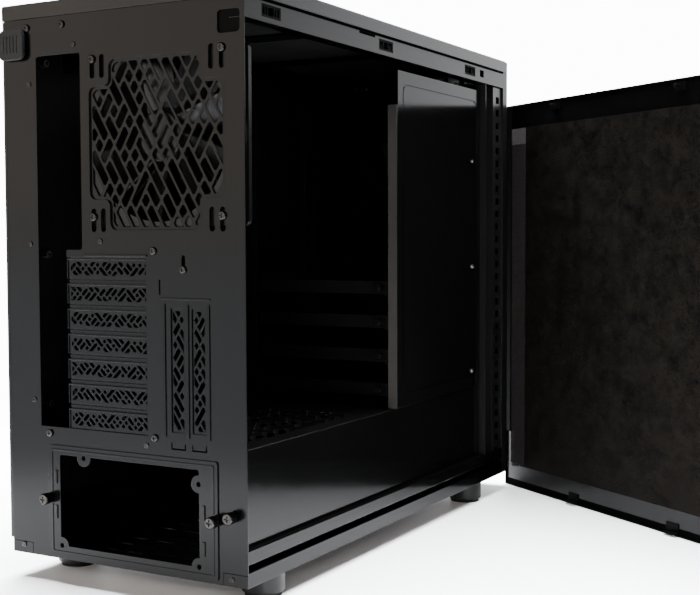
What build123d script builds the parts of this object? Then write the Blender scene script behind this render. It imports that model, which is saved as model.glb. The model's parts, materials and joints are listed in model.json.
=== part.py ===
"""Desktop computer tower: an empty steel chassis with its side panels, door, fans and drive trays.

Millimetres. +Z is up, the rear of the tower faces +Y and the open left side faces -X.
The origin is on the floor, under the middle of the chassis.
"""
from build123d import *
from math import cos, pi, radians, sin
from random import Random
import os

# ---- overall size -------------------------------------------------------------------------------
CHASSIS_WIDTH = 237.0        # between the outer faces of the two rails
TOTAL_DEPTH = 543.0          # rear sheet to front of the door
TOTAL_HEIGHT = 475.0         # floor to top of the cap
FOOT_HEIGHT = 20.5
CAP_THICKNESS = 12.5
SHEET = 1.0                  # steel sheet of the chassis
PANEL_THICKNESS = 3.2        # side panel over its hems
GAP = 0.3                    # clearance between pieces that move apart

HALF = CHASSIS_WIDTH / 2
REAR = TOTAL_DEPTH / 2
FRONT = -TOTAL_DEPTH / 2
BASE = FOOT_HEIGHT
TOP = TOTAL_HEIGHT
BODY_TOP = TOP - CAP_THICKNESS
PANEL_IN = HALF + GAP
PANEL_OUT = PANEL_IN + PANEL_THICKNESS

# ---- stations along the side, measured forward from the rear sheet ---------------------------------
PANEL_LENGTH = 506.7
OPENING_DEPTH = 458.0        # rear sheet to the front edge of the side opening
STRIP_START = 484.0          # slotted strip beside the fascia
FASCIA_START = 507.0
CHAMFER_START = 519.0
PANEL_FRONT = REAR - PANEL_LENGTH
OPENING_FRONT = REAR - OPENING_DEPTH
STRIP_REAR = REAR - STRIP_START
FASCIA_REAR = REAR - FASCIA_START
CHAMFER_Y = REAR - CHAMFER_START

# ---- heights ---------------------------------------------------------------------------------
BAND_TOP = 32.0              # outer band of the lower rail
RAIL_LOW = 38.4
RAIL_HIGH = 48.5
SHROUD_TOP = 124.0
TOP_RAIL_LOW = 446.0

# ---- standards the chassis is built around -----------------------------------------------------------
SLOT_PITCH = 20.32           # expansion slot pitch
SLOT_COUNT = 7
FAN_140 = 140.0
FAN_140_HOLES = 124.5
FAN_120_HOLES = 105.0
FAN_DEPTH = 25.0
SHAFT_RADIUS = 1.5
BOARD_WIDTH = 227.33         # between the outer stand-offs, front to rear
BOARD_HEIGHT = 281.94        # between the outer stand-offs, bottom to top
BOARD_MID_WIDTH = 157.48
BOARD_MID_HEIGHT = 124.46
PSU_HOLES = [(63.5, 32.0), (-74.5, 32.0), (-74.5, 96.0), (39.5, 106.0)]

# ---- rear sheet -------------------------------------------------------------------------------------
FAN_X, FAN_Z = -36.1, 363.0                  # rear fan centre
GRILLE_X = (-99.9, 29.9)                     # wide part of the notched fan grille
GRILLE_INNER_X = (-78.5, 9.5)                # narrow part at its top and bottom
GRILLE_Z = (290.4, 424.0)
GRILLE_INNER_Z = (314.6, 403.5)
FAN_SLOT_LENGTH = 18.6
FAN_SLOT_RADIUS = 2.4
FAN_SLOT_Z = (298.1, 419.4)
IO_X = (38.9, 85.3)
IO_Z = (274.6, 431.5)
COVER_X = (-25.2, 55.5)
COVER_TOP = 267.7
COVER_HEIGHT = 16.2
CHANNEL_BOTTOM = 129.4
VERTICAL_COVER_X = (-55.2, -75.1)            # centres of the two upright slot covers
VERTICAL_COVER_WIDTH = 12.6
VERTICAL_COVER_Z = (134.0, 230.0)
RIB_X = (-43.0, -65.2, -84.8)
PSU_FRAME_X = (-92.1, 77.1)
PSU_FRAME_Z = (23.0, 114.6)
BRACKET_SCREWS = ((75.2, 70.5), (-90.6, 69.5))   # thumbscrews through the bracket
SHEET_SCREW = (-106.2, 74.0)                 # thumbscrew through the rear sheet beside it
PSU_OPEN_X = (-75.0, 64.7)
PSU_OPEN_Z = (32.0, 107.0)
NOTCH_Z = (435.7, 452.7)
NOTCH_X = (94.6, 114.5)
TAB_Z = (429.5, 454.5)
SEAM_X, SEAM_Z = 96.0, 30.0                  # folded seam at each bottom corner

# ---- inside ------------------------------------------------------------------------------------------
TRAY_X = 92.5                                # face of the motherboard tray
STANDOFF = 6.4
SHROUD_X = -112.0
DRIVE_REAR = 20.0                            # rear face of the drive column
DRIVE_PITCH = 31.75
DRIVE_TOP = 243.0
DRIVE_COUNT = 4
DRIVE_LIP = 12.2
DRIVE_X = (-107.0, 36.0)
DRIVE_DEPTH = 103.0
FAN_WALL_Y = -211.5                          # steel sheet that carries the front fans
FRONT_FAN_Z = (182.0, 328.0)

# ---- swing of the side panels: a plumb line inside each front corner ----------------------------------
SWING_X = 75.8
SWING_Y = -243.9
SWING_ANGLE = 56.5
PANEL_LOW = BAND_TOP + GAP
PANEL_HIGH = BODY_TOP - GAP
PANEL_REST_Z = 0.4                           # the taken-off panel stands this high above the floor plane

os.makedirs("parts", exist_ok=True)


# ---- helpers ---------------------------------------------------------------------------------------------
def block(x, y, z):
    """Box from three (low, high) pairs."""
    (x0, x1), (y0, y1), (z0, z1) = sorted(x), sorted(y), sorted(z)
    return Pos(x0, y0, z0) * Box(x1 - x0, y1 - y0, z1 - z0, align=(Align.MIN,) * 3)


def rod(radius, start, axis, length):
    """Cylinder that begins at start and runs along axis."""
    plane = Plane(origin=start, z_dir=axis)
    return plane * Cylinder(radius, length, align=(Align.CENTER, Align.CENTER, Align.MIN))


def mirror_x(shape):
    return mirror(shape, about=Plane.YZ)


def save(name, shape):
    solids = shape.solids() if hasattr(shape, "solids") else [s for item in shape for s in item.solids()]
    export_step(Compound(children=list(solids)) if len(solids) > 1 else solids[0], f"parts/{name}.step")
    print(f"{name}: {len(solids)} solids")


def sheet_plane_y(y):
    """Plane standing across the tower at y: local x is +X, local y is +Z, drawn on towards -Y."""
    return Plane(origin=(0, y, 0), x_dir=(1, 0, 0), z_dir=(0, -1, 0))


def rect_face(x, z):
    return Pos((x[0] + x[1]) / 2, (z[0] + z[1]) / 2) * Rectangle(abs(x[1] - x[0]), abs(z[1] - z[0]))


def woven_slots(clip, low, high, pitch, rib, lean, seed):
    """Faces of a woven lattice: bars one to three cells long on a grid that leans both ways."""
    chance = Random(seed)
    up = Vector(cos(radians(lean)), sin(radians(lean)))
    down = Vector(-cos(radians(lean)), sin(radians(lean)))
    side = pitch / sin(radians(180 - 2 * lean))
    span = int((high[0] - low[0] + high[1] - low[1]) / side) + 2
    centre = Vector((low[0] + high[0]) / 2, (low[1] + high[1]) / 2)
    taken = set()
    faces = []
    for i in range(-span, span):
        for j in range(-span, span):
            if (i, j) in taken:
                continue
            length = chance.choice((1, 2, 2, 3))
            along_up = chance.random() < 0.5
            step = (1, 0) if along_up else (0, 1)
            cells = []
            for k in range(length):
                cell = (i + step[0] * k, j + step[1] * k)
                if cell in taken:
                    break
                cells.append(cell)
            taken.update(cells)
            wide = (len(cells) if along_up else 1) * side - rib
            tall = (1 if along_up else len(cells)) * side - rib
            corner = centre + up * (i * side + rib / 2) + down * (j * side + rib / 2)
            points = [corner, corner + up * wide, corner + up * wide + down * tall, corner + down * tall]
            inside = [low[0] < p.X < high[0] and low[1] < p.Y < high[1] for p in points]
            if not any(inside):
                continue
            bar = Polygon(*[(p.X, p.Y) for p in points], align=None)
            bar = fillet(bar.vertices(), min(rib * 0.7, min(wide, tall) * 0.42))
            bar = bar & clip
            faces += [face for face in bar.faces() if face.area > rib * rib]
    return faces


def lattice_plate(outline, margin_clip, low, high, pitch, rib, lean, seed, plane, thickness):
    """Plate of the given outline, pierced by the woven lattice, extruded from plane."""
    plate = outline - woven_slots(margin_clip, low, high, pitch, rib, lean, seed)
    return extrude(plane * plate, thickness)


def notched_outline(inset=0.0):
    """The fan grille's outline: a rectangle with its four corners stepped in."""
    tall = rect_face((GRILLE_INNER_X[0] + inset, GRILLE_INNER_X[1] - inset),
                     (GRILLE_Z[0] + inset, GRILLE_Z[1] - inset))
    wide = rect_face((GRILLE_X[0] + inset, GRILLE_X[1] - inset),
                     (GRILLE_INNER_Z[0] + inset, GRILLE_INNER_Z[1] - inset))
    shape = tall + wide
    return fillet(shape.vertices(), 6.0)


def screw_head(x, y, z, radius=3.0, height=1.8):
    """Low pan head with a cross recess, standing out of the rear sheet."""
    head = rod(radius, (x, y, z), (0, 1, 0), height)
    head = fillet(head.edges().sort_by(Axis.Y)[-1], height * 0.5)
    for wide, tall in ((radius * 1.1, radius * 0.28), (radius * 0.28, radius * 1.1)):
        head -= block((x - wide / 2, x + wide / 2), (y + height * 0.45, y + height + 1),
                      (z - tall / 2, z + tall / 2))
    return head


# ---- rear of the chassis -----------------------------------------------------------------------------------
def rear_panel():
    face = rect_face((-HALF, HALF), (BASE, BODY_TOP))
    face -= notched_outline()
    for side in (-1, 1):
        for spacing in (FAN_120_HOLES, FAN_140_HOLES):
            for z in FAN_SLOT_Z:
                slot = Rot(0, 0, 90) * SlotOverall(FAN_SLOT_LENGTH, 2 * FAN_SLOT_RADIUS)
                face -= Pos(FAN_X + side * spacing / 2, z) * slot
    opening = fillet(rect_face(IO_X, IO_Z).vertices(), 2.5)
    opening += rect_face((COVER_X[1], IO_X[1]), (CHANNEL_BOTTOM, IO_Z[0] + 4))
    opening += rect_face(COVER_X, (CHANNEL_BOTTOM, COVER_TOP + 1))
    face -= opening
    for x in VERTICAL_COVER_X:
        face -= rect_face((x - VERTICAL_COVER_WIDTH / 2, x + VERTICAL_COVER_WIDTH / 2), VERTICAL_COVER_Z)
    face -= rect_face((PSU_OPEN_X[0] - 5, PSU_OPEN_X[1] + 5), (PSU_OPEN_Z[0] - 5, PSU_OPEN_Z[1] + 3.5))
    for side in (-1, 1):
        face -= fillet(rect_face((side * NOTCH_X[0], side * NOTCH_X[1]), NOTCH_Z).vertices(), 3.0)
    keyhole = Pos(-61.3, 266.5) * Rot(0, 0, 90) * SlotOverall(9.0, 3.2)
    face -= keyhole
    face -= rect_face((-39.2, -37.8), (240.2, 251.7))
    for x in VERTICAL_COVER_X:
        outer = rect_face((x - 7.0, x + 7.0), (120.5, 125.6))
        face -= outer - rect_face((x - 5.8, x + 5.8), (121.6, 130.0))
    body = extrude(sheet_plane_y(REAR) * face, SHEET)
    for x in RIB_X:
        body += block((x - 0.8, x + 0.8), (REAR, REAR + 0.9), (130.0, 233.0))
    body += block((-86.0, -40.0), (REAR, REAR + 0.8), (236.5, 238.0))
    for side in (-1, 1):
        body -= block((side * SEAM_X, side * HALF), (REAR - 0.5, REAR + 1), (SEAM_Z, SEAM_Z + 0.6))
        body -= block((side * SEAM_X, side * (SEAM_X + 0.6)), (REAR - 0.5, REAR + 1), (BASE - 1, SEAM_Z + 0.6))
    body += block((COVER_X[0] - 1, COVER_X[1] - 19), (REAR, REAR + 1.0), (269.4, 271.2))
    return body


def rear_fan_grille():
    """Stepped-in lattice field of the rear sheet; its edge is a collar against the sheet's back."""
    low, high = (GRILLE_X[0], GRILLE_Z[0]), (GRILLE_X[1], GRILLE_Z[1])
    plate = lattice_plate(notched_outline(-2.5), notched_outline(2.2), low, high, 8.8, 2.5, 60.0, 11,
                          sheet_plane_y(REAR - 1.6), SHEET)
    collar = extrude(sheet_plane_y(REAR - SHEET) * (notched_outline(-2.5) - notched_outline(0.0)), 0.6)
    return plate + collar


COVER_BACK = 2.4             # back of the slot covers, measured in from the outer face of the sheet


def slot_bracket():
    """Set-back frame behind the expansion slot covers, with seven apertures and a divider bar between each two."""
    x = (COVER_X[0] - 9, COVER_X[1] - 1.4)
    face = rect_face(x, (CHANNEL_BOTTOM - 4.4, COVER_TOP + 7))
    for i in range(SLOT_COUNT):
        z = COVER_TOP - COVER_HEIGHT / 2 - i * SLOT_PITCH
        face -= rect_face((COVER_X[0] - 3.0, COVER_X[1] - 5.0), (z - 6.0, z + 6.0))
    frame = extrude(sheet_plane_y(REAR - COVER_BACK) * face, SHEET)
    frame += block((COVER_X[0] - 9, COVER_X[0] - 5), (REAR - COVER_BACK, REAR - SHEET),
                   (CHANNEL_BOTTOM - 4.4, COVER_TOP + 7))
    for i in range(SLOT_COUNT - 1):
        z = COVER_TOP - COVER_HEIGHT - i * SLOT_PITCH
        frame += block((COVER_X[0] - 4, COVER_X[1] - 1.4), (REAR - COVER_BACK, REAR - SHEET - 0.4), (z - 3.0, z - 1.1))
    return frame


def slot_cover(index):
    """One expansion slot cover: latticed face and a tab bent into the chassis."""
    centre = COVER_TOP - COVER_HEIGHT / 2 - index * SLOT_PITCH
    z = (centre - COVER_HEIGHT / 2, centre + COVER_HEIGHT / 2)
    low, high = (COVER_X[0] - 3.0, centre - 5.4), (COVER_X[1] - 3.4, centre + 5.4)
    outline = rect_face((COVER_X[0] - 4.5, COVER_X[1]), z)
    clip = rect_face((low[0], high[0]), (low[1], high[1]))
    cover = lattice_plate(outline, clip, low, high, 4.3, 1.45, 45.0, 30 + index,
                          sheet_plane_y(REAR - SHEET - 0.2), SHEET + 0.2)
    cover += block((COVER_X[0] + 0.3, COVER_X[1] - 1), (REAR - SHEET - 1, REAR - 0.3), (z[1] - 1.2, z[1]))
    tab = block((COVER_X[1] - 1.0, COVER_X[1]), (REAR - 13.0, REAR - 0.4), z)
    tab -= rod(1.9, (COVER_X[1] - 3, REAR - 9.0, centre), (1, 0, 0), 6.0)
    return cover + tab


def vertical_cover(x):
    low, high = (x - 5.0, VERTICAL_COVER_Z[0] + 2.0), (x + 5.0, VERTICAL_COVER_Z[1] - 2.0)
    outline = rect_face((x - 9.0, x + 9.0), (VERTICAL_COVER_Z[0] - 3, VERTICAL_COVER_Z[1] + 3))
    clip = rect_face((low[0], high[0]), (low[1], high[1]))
    return lattice_plate(outline, clip, low, high, 5.2, 1.6, 58.0, 50 + int(abs(x)),
                         sheet_plane_y(REAR - SHEET), SHEET)


def psu_bracket():
    """Proud frame that a power supply is screwed to, with ears for its four holes."""
    hole_r = 2.0
    face = fillet(rect_face(PSU_FRAME_X, PSU_FRAME_Z).vertices(), 2.5)
    opening = fillet(rect_face(PSU_OPEN_X, PSU_OPEN_Z).vertices(), 1.5)
    ears = [Pos(*centre) * Circle(7.0) for centre in PSU_HOLES]
    face -= opening - Sketch() - ears
    for centre in PSU_HOLES:
        face -= Pos(*centre) * Circle(hole_r)
    plate = extrude(sheet_plane_y(REAR + 1.2) * face, 1.2)
    bead_out = rect_face((PSU_FRAME_X[0] + 3.2, PSU_FRAME_X[1] - 3.2), (PSU_FRAME_Z[0] + 3.0, PSU_FRAME_Z[1] - 3.0))
    bead_in = rect_face((PSU_FRAME_X[0] + 4.6, PSU_FRAME_X[1] - 4.6), (PSU_FRAME_Z[0] + 4.4, PSU_FRAME_Z[1] - 4.4))
    bead = fillet(bead_out.vertices(), 2.0) - fillet(bead_in.vertices(), 1.5)
    plate += extrude(sheet_plane_y(REAR + 1.8) * bead, 0.7)
    for x, z in ((-79.2, 74.5), (-79.2, 46.5), (68.9, 88.5), (68.9, 59.5)):
        plate += block((x - 1.2, x + 1.2), (REAR + 1.1, REAR + 2.2), (z - 5.5, z + 5.5))
    for x, z in BRACKET_SCREWS:
        plate -= rod(5.2, (x, REAR + 1.2, z), (0, 1, 0), 2.0)
    return plate


def thumbscrew(x, z, y):
    """Knurled thumbscrew standing out of the rear, seated at y."""
    neck = rod(3.0, (x, y, z), (0, 1, 0), 2.5)
    head = rod(4.6, (x, y + 2.5, z), (0, 1, 0), 7.0)
    head = chamfer(head.edges().group_by(Axis.Y)[-1], 0.8)
    for i in range(12):
        turn = 2 * pi * i / 12
        head -= rod(0.55, (x + 4.6 * cos(turn), y + 3.4, z + 4.6 * sin(turn)), (0, 1, 0), 7.0)
    head -= block((x - 2.6, x + 2.6), (y + 8.3, y + 10), (z - 0.6, z + 0.6))
    head -= block((x - 0.6, x + 0.6), (y + 8.3, y + 10), (z - 2.6, z + 2.6))
    return neck + head


# ---- bottom, sides and top of the chassis --------------------------------------------------------------------
FILTER_HALF = 72.0           # half width of the bottom filter
FILTER_LOW = 16.0            # its underside


def bottom_pan():
    """Floor of the chassis with two vents and the rails that the bottom filter slides in."""
    floor = block((-HALF + SHEET, HALF - SHEET), (FASCIA_REAR, REAR - SHEET), (BASE, BASE + SHEET))
    slots = []
    for row in range(7):
        for column in range(5):
            x = -62.0 + column * 28.0
            y = 110.0 + row * 20.0
            slots.append(Pos(x, y, BASE) * extrude(SlotOverall(20.0, 7.0), SHEET * 3, both=True))
            slots.append(Pos(x, y - 260.0, BASE) * extrude(SlotOverall(20.0, 7.0), SHEET * 3, both=True))
    pan = floor - slots
    for side in (-1, 1):
        outer, inner = side * (FILTER_HALF + 1.6), side * (FILTER_HALF + 0.4)
        pan += block((inner, outer), (-200.0, 232.0), (FILTER_LOW - 1.2, BASE))
        pan += block((side * (FILTER_HALF - 3.0), outer), (-200.0, 232.0), (FILTER_LOW - 1.2, FILTER_LOW - 0.2))
    return pan


def lower_rail():
    """Folded lower edge of the left side: outer band, dark channel, rail face and its return."""
    y = (FASCIA_REAR, REAR - SHEET)
    rail = block((-HALF, -HALF + SHEET), y, (BASE, BAND_TOP))
    rail += block((-HALF, SHROUD_X), y, (BAND_TOP - SHEET, BAND_TOP))
    rail += block((SHROUD_X, SHROUD_X + SHEET), y, (BAND_TOP - SHEET, RAIL_LOW + SHEET))
    rail += block((-HALF, SHROUD_X + SHEET), y, (RAIL_LOW, RAIL_LOW + SHEET))
    rail += block((-HALF, -HALF + SHEET), y, (RAIL_LOW, RAIL_HIGH))
    rail += block((-HALF, SHROUD_X + SHEET), y, (RAIL_HIGH - SHEET, RAIL_HIGH))
    return rail


def top_rail():
    """Upper rail of the left side with three clip sockets, an oval slit and an access hole."""
    y = (FASCIA_REAR, REAR - SHEET)
    rail = block((-HALF, -HALF + SHEET), y, (TOP_RAIL_LOW, BODY_TOP - SHEET))
    rail += block((-HALF, -HALF + 14.0), y, (TOP_RAIL_LOW, TOP_RAIL_LOW + SHEET))
    rail -= block((-HALF + 1.5, -HALF + 20), (OPENING_FRONT - 30, REAR), (TOP_RAIL_LOW - 1, TOP_RAIL_LOW + 0.2))
    for station in CLIP_STATIONS:
        centre = REAR - station
        rail -= block((-HALF - 1, -HALF + 2), (centre - SOCKET_HALF, centre + SOCKET_HALF), SOCKET_Z)
    rail -= block((-HALF - 1, -HALF + 2), (REAR - 206.0, REAR - 177.0), (BODY_TOP - SHEET - 2.2, BODY_TOP))
    rail -= block((-HALF - 1, -HALF + 2), (REAR - 452.0, REAR - 442.0), (451.5, 458.5))
    return rail


CLIP_STATIONS = (37.0, 227.0, 416.0)         # snap clips along the panel's top, from the rear
HOOK_STATIONS = (83.0, 233.0, 383.0)         # bent hooks along the panel's foot, from the rear
SOCKET_HALF = 13.5                           # half length of a clip socket's window in the top rail
SOCKET_Z = (450.0, 459.5)
STUD_Z = (SOCKET_Z[0] + SOCKET_Z[1]) / 2


def clip_sockets():
    """Moulded inserts of the left top rail that the panel's ball studs snap into."""
    sockets = []
    x = (-HALF + 0.2, -HALF + 4.0)
    for station in CLIP_STATIONS:
        y = REAR - station
        shell = block(x, (y - SOCKET_HALF + 0.2, y + SOCKET_HALF - 0.2), (SOCKET_Z[0] + 0.2, SOCKET_Z[1] - 0.2))
        shell -= block((x[0] - 1, x[1] + 1), (y - 4.0, y + 4.0), (STUD_Z - 3.2, STUD_Z + 3.2))
        for side in (-1, 1):
            ends = (y + side * 5.0, y + side * 11.8)
            shell -= block((x[0] - 1, x[0] + 1.4), ends, (STUD_Z - 3.0, STUD_Z + 3.0))
            shell += block((x[0], x[0] + 2), (y + side * 7.4, y + side * 8.6), (STUD_Z - 3.2, STUD_Z + 1.6))
        sockets.append(shell)
    return sockets


def top_panel():
    """Chassis roof under the cap, with three large fan openings and mounting slots."""
    x = (-HALF + SHEET, HALF - SHEET)
    roof = block(x, (FASCIA_REAR, REAR - SHEET), (BODY_TOP - SHEET, BODY_TOP))
    for centre in (165.0, 18.0, -129.0):
        roof -= block((-62.0, 78.0), (centre - 62.0, centre + 62.0), (BODY_TOP - 5, BODY_TOP + 5))
    for i in range(15):
        y = 225.0 - i * 28.0
        slot = Rot(0, 0, 90) * SlotOverall(18.0, 4.6)
        for side_x in (-74.0, 90.0):
            roof -= Pos(side_x, y, BODY_TOP - SHEET / 2) * extrude(slot, SHEET * 2, both=True)
    return roof


def front_post():
    """Folded post at the front of the left side opening: flange, channel and slotted strip."""
    z = (BASE + SHEET, BODY_TOP - SHEET)
    inner = -HALF + 12.0
    post = block((-HALF, inner), (OPENING_FRONT - SHEET, OPENING_FRONT), z)
    post += block((inner - SHEET, inner), (STRIP_REAR, OPENING_FRONT), z)
    post += block((-HALF + 2.0, inner), (STRIP_REAR, STRIP_REAR + SHEET), z)
    post += block((-HALF + 2.0, -HALF + 2.0 + SHEET), (FASCIA_REAR, STRIP_REAR + SHEET), z)
    count = 29
    for i in range(count):
        centre = 48.0 + i * 13.7
        post -= block((-HALF, -HALF + 4.0), (FASCIA_REAR + 7.0, STRIP_REAR - 7.0), (centre - 3.6, centre + 3.6))
    for height in (BASE, TOP_RAIL_LOW - 1.0):
        tall = RAIL_HIGH if height == BASE else BODY_TOP
        post -= block((-HALF - 1, -HALF + 2.0), (FASCIA_REAR - 1, REAR), (height, tall))
        post -= block((-HALF - 1, inner + 3), (FASCIA_REAR - 1, OPENING_FRONT + 1), (height, tall))
    return post


def psu_shroud_side():
    side = block((SHROUD_X, SHROUD_X + SHEET), (OPENING_FRONT, REAR - SHEET), (RAIL_HIGH, SHROUD_TOP - SHEET))
    side += block((SHROUD_X, SHROUD_X + 8.0), (OPENING_FRONT, REAR - SHEET), (RAIL_HIGH, RAIL_HIGH + SHEET))
    return side


def psu_shroud_top():
    """Top of the power supply shroud with a woven vent and two cable slots."""
    x, y = (SHROUD_X, TRAY_X), (OPENING_FRONT, REAR - 3.6)
    outline = rect_face(x, y)
    low, high = (-96.0, 66.0), (-4.0, 236.0)
    clip = rect_face((low[0], high[0]), (low[1], high[1]))
    face = outline - woven_slots(clip, low, high, 8.6, 3.0, 60.0, 77)
    for centre in (200.0, 120.0):
        face -= Pos(70.0, centre) * Rot(0, 0, 90) * SlotOverall(50.0, 22.0)
    return extrude(Plane(origin=(0, 0, SHROUD_TOP - SHEET)) * face, SHEET)


def motherboard_tray():
    """Upright sheet that carries the motherboard, with cable openings round its edge."""
    y = (-150.0, REAR - SHEET - 0.2)
    tray = block((TRAY_X, TRAY_X + SHEET), y, (BASE + SHEET, BODY_TOP - SHEET))
    for z in (165.0, 250.0, 335.0):
        tray -= block((TRAY_X - 5, TRAY_X + 5), (-22.0, 8.0), (z, z + 70.0))
    tray -= block((TRAY_X - 5, TRAY_X + 5), (60.0, 190.0), (318.0, 418.0))
    for y_mid in (215.0, 95.0, 25.0):
        tray -= block((TRAY_X - 5, TRAY_X + 5), (y_mid - 16.0, y_mid + 16.0), (424.0, 440.0))
    tray -= block((TRAY_X - 5, TRAY_X + 5), (-130.0, 240.0), (40.0, 112.0))
    for y_hole, z_hole in standoff_places():
        tray -= rod(1.5, (TRAY_X - 2, y_hole, z_hole), (1, 0, 0), 5.0)
    return tray


BOARD_REAR = 264.0 - 6.35                    # rearmost column of stand-offs
BOARD_TOP = 438.0 - 10.16                    # highest row of stand-offs


def standoff_places():
    columns = (0.0, BOARD_MID_WIDTH, BOARD_WIDTH)
    rows = (0.0, BOARD_MID_HEIGHT + 33.02, BOARD_HEIGHT)
    return [(BOARD_REAR - column, BOARD_TOP - row) for column in columns for row in rows]


def board_standoffs():
    posts = []
    for y, z in standoff_places():
        hexagon = extrude(Plane(origin=(TRAY_X, y, z), z_dir=(-1, 0, 0)) * RegularPolygon(3.4, 6), STANDOFF)
        posts.append(hexagon - rod(1.5, (TRAY_X - STANDOFF - 1, y, z), (1, 0, 0), STANDOFF + 2))
    return Compound(children=posts)


# ---- drive column ---------------------------------------------------------------------------------------------
def drive_cover_plate():
    """Plate over the open side of the drive column, with a pressed rounded rectangle."""
    y, z = (OPENING_FRONT + 2.0, DRIVE_REAR - 10.0), (SHROUD_TOP, 438.0)
    plate = block((-113.0, -113.0 + SHEET), y, z)
    field = block((-114.0, -112.4), (y[0] + 10, y[1] - 10), (z[0] + 12, z[1] - 12))
    field = fillet(field.edges().filter_by(Axis.X), 8.0)
    core = block((-115.0, -111.0), (y[0] + 11.4, y[1] - 11.4), (z[0] + 13.4, z[1] - 13.4))
    core = fillet(core.edges().filter_by(Axis.X), 6.6)
    return plate - (field - core)


def drive_frame():
    """Rear-facing strip of the drive column and the sheet behind it that carries the trays."""
    strip = block((-117.0, -107.8), (DRIVE_REAR - SHEET, DRIVE_REAR), (SHROUD_TOP, 405.0))
    strip += block((-113.0, -113.0 + SHEET), (DRIVE_REAR - 10.0, DRIVE_REAR - SHEET), (SHROUD_TOP, 405.0))
    strip += block((DRIVE_X[1] + 2, DRIVE_X[1] + 14), (DRIVE_REAR - SHEET, DRIVE_REAR), (SHROUD_TOP, 438.0))
    strip += block((DRIVE_X[1] + 13, TRAY_X), (-60.0, -60.0 + SHEET), (SHROUD_TOP, 438.0))
    strip += block((DRIVE_X[1] + 13, DRIVE_X[1] + 14), (-60.0, DRIVE_REAR), (SHROUD_TOP, 438.0))
    for index in range(DRIVE_COUNT):
        under = DRIVE_TOP - index * DRIVE_PITCH - DRIVE_LIP - 0.4
        ledge = (under - SHEET, under)
        strip += block((-112.0, DRIVE_X[0] + 4), (-80.0, DRIVE_REAR - SHEET), ledge)
        strip += block((DRIVE_X[1] - 4, DRIVE_X[1] + 13), (-60.0, DRIVE_REAR - SHEET), ledge)
    return strip


def drive_tray(index):
    """Shallow sled for one disk drive, with a rear lip and a captive thumbscrew."""
    top = DRIVE_TOP - index * DRIVE_PITCH
    x, y = DRIVE_X, (DRIVE_REAR - DRIVE_DEPTH, DRIVE_REAR)
    sled = block(x, y, (top - DRIVE_LIP, top - DRIVE_LIP + SHEET))
    sled += block(x, (y[1] - SHEET, y[1]), (top - DRIVE_LIP, top))
    for edge in ((x[0], x[0] + SHEET), (x[1] - SHEET, x[1])):
        sled += block(edge, y, (top - DRIVE_LIP, top - 2.0))
    for hole_y in (-12.0, -56.0):
        for hole_x in (-80.0, 10.0):
            sled -= rod(2.0, (hole_x, hole_y, top - DRIVE_LIP - 1), (0, 0, 1), 4)
    sled -= block((-50.0, -15.0), (-70.0, 0.0), (top - DRIVE_LIP - 1, top - DRIVE_LIP + 2))
    screw = rod(3.6, (x[0] + 9.0, y[1], top - DRIVE_LIP / 2), (0, 1, 0), 5.0)
    return sled + chamfer(screw.edges().group_by(Axis.Y)[-1], 0.6)


# ---- fans -------------------------------------------------------------------------------------------------------
def fan_frame(x, z, y_back):
    """Square fan housing, its deep side from y_back towards -Y, with a hub disc on four arms."""
    half = FAN_140 / 2
    outer = block((x - half, x + half), (y_back - FAN_DEPTH, y_back), (z - half, z + half))
    outer = fillet(outer.edges().filter_by(Axis.Y), 6.0)
    outer -= rod(66.5, (x, y_back - FAN_DEPTH - 1, z), (0, 1, 0), FAN_DEPTH + 2)
    waist = block((x - half - 1, x + half + 1), (y_back - FAN_DEPTH + 4, y_back - 4), (z - half - 1, z + half + 1))
    waist -= rod(69.0, (x, y_back - FAN_DEPTH, z), (0, 1, 0), FAN_DEPTH)
    frame = outer - waist
    for side_x in (-1, 1):
        for side_z in (-1, 1):
            at = (x + side_x * FAN_140_HOLES / 2, y_back - FAN_DEPTH - 1, z + side_z * FAN_140_HOLES / 2)
            frame -= rod(2.2, at, (0, 1, 0), FAN_DEPTH + 2)
    hub = rod(19.5, (x, y_back - FAN_DEPTH, z), (0, 1, 0), 2.5)
    hub -= rod(SHAFT_RADIUS + 0.06, (x, y_back - FAN_DEPTH - 1, z), (0, 1, 0), 5.0)
    for arm in range(4):
        bar = block((18.0, 68.0), (y_back - FAN_DEPTH, y_back - FAN_DEPTH + 2.5), (-2.2, 2.2))
        hub += Pos(x, 0, z) * Rot(0, 45 + 90 * arm, 0) * bar
    return frame + hub


def fan_rotor(x, z, y_back):
    """Hub cup with nine leaning blades and a short shaft, turning about Y."""
    front = y_back - FAN_DEPTH + 3.0
    rotor = rod(20.5, (x, front + 1.0, z), (0, 1, 0), FAN_DEPTH - 5.5)
    rotor = fillet(rotor.edges().sort_by(Axis.Y)[-1], 2.5)
    rotor += rod(SHAFT_RADIUS, (x, y_back - FAN_DEPTH + 0.4, z), (0, 1, 0), 4.0)
    for i in range(9):
        blade = Pos(42.0, 0, 0) * Rot(38, 0, 0) * Box(46.0, 1.8, 24.0)
        blade &= Rot(90, 0, 0) * Cylinder(65.0, FAN_DEPTH - 8.0)
        rotor += Pos(x, front + 10.5, z) * Rot(0, 40 * i, 0) * blade
    return rotor


# ---- front ------------------------------------------------------------------------------------------------------
DOOR_X = 100.0
DOOR_Z = (32.0, 444.0)
DOOR_THICKNESS = 12.0
DOOR_EDGE_RADIUS = 2.5
DOOR_HINGE_X = DOOR_X - DOOR_EDGE_RADIUS     # the hinge line is the centre of the door's rounded edge
DOOR_HINGE_Y = FRONT + DOOR_EDGE_RADIUS
PIN_RADIUS = 1.5
PIN_REACH = 4.0


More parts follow.
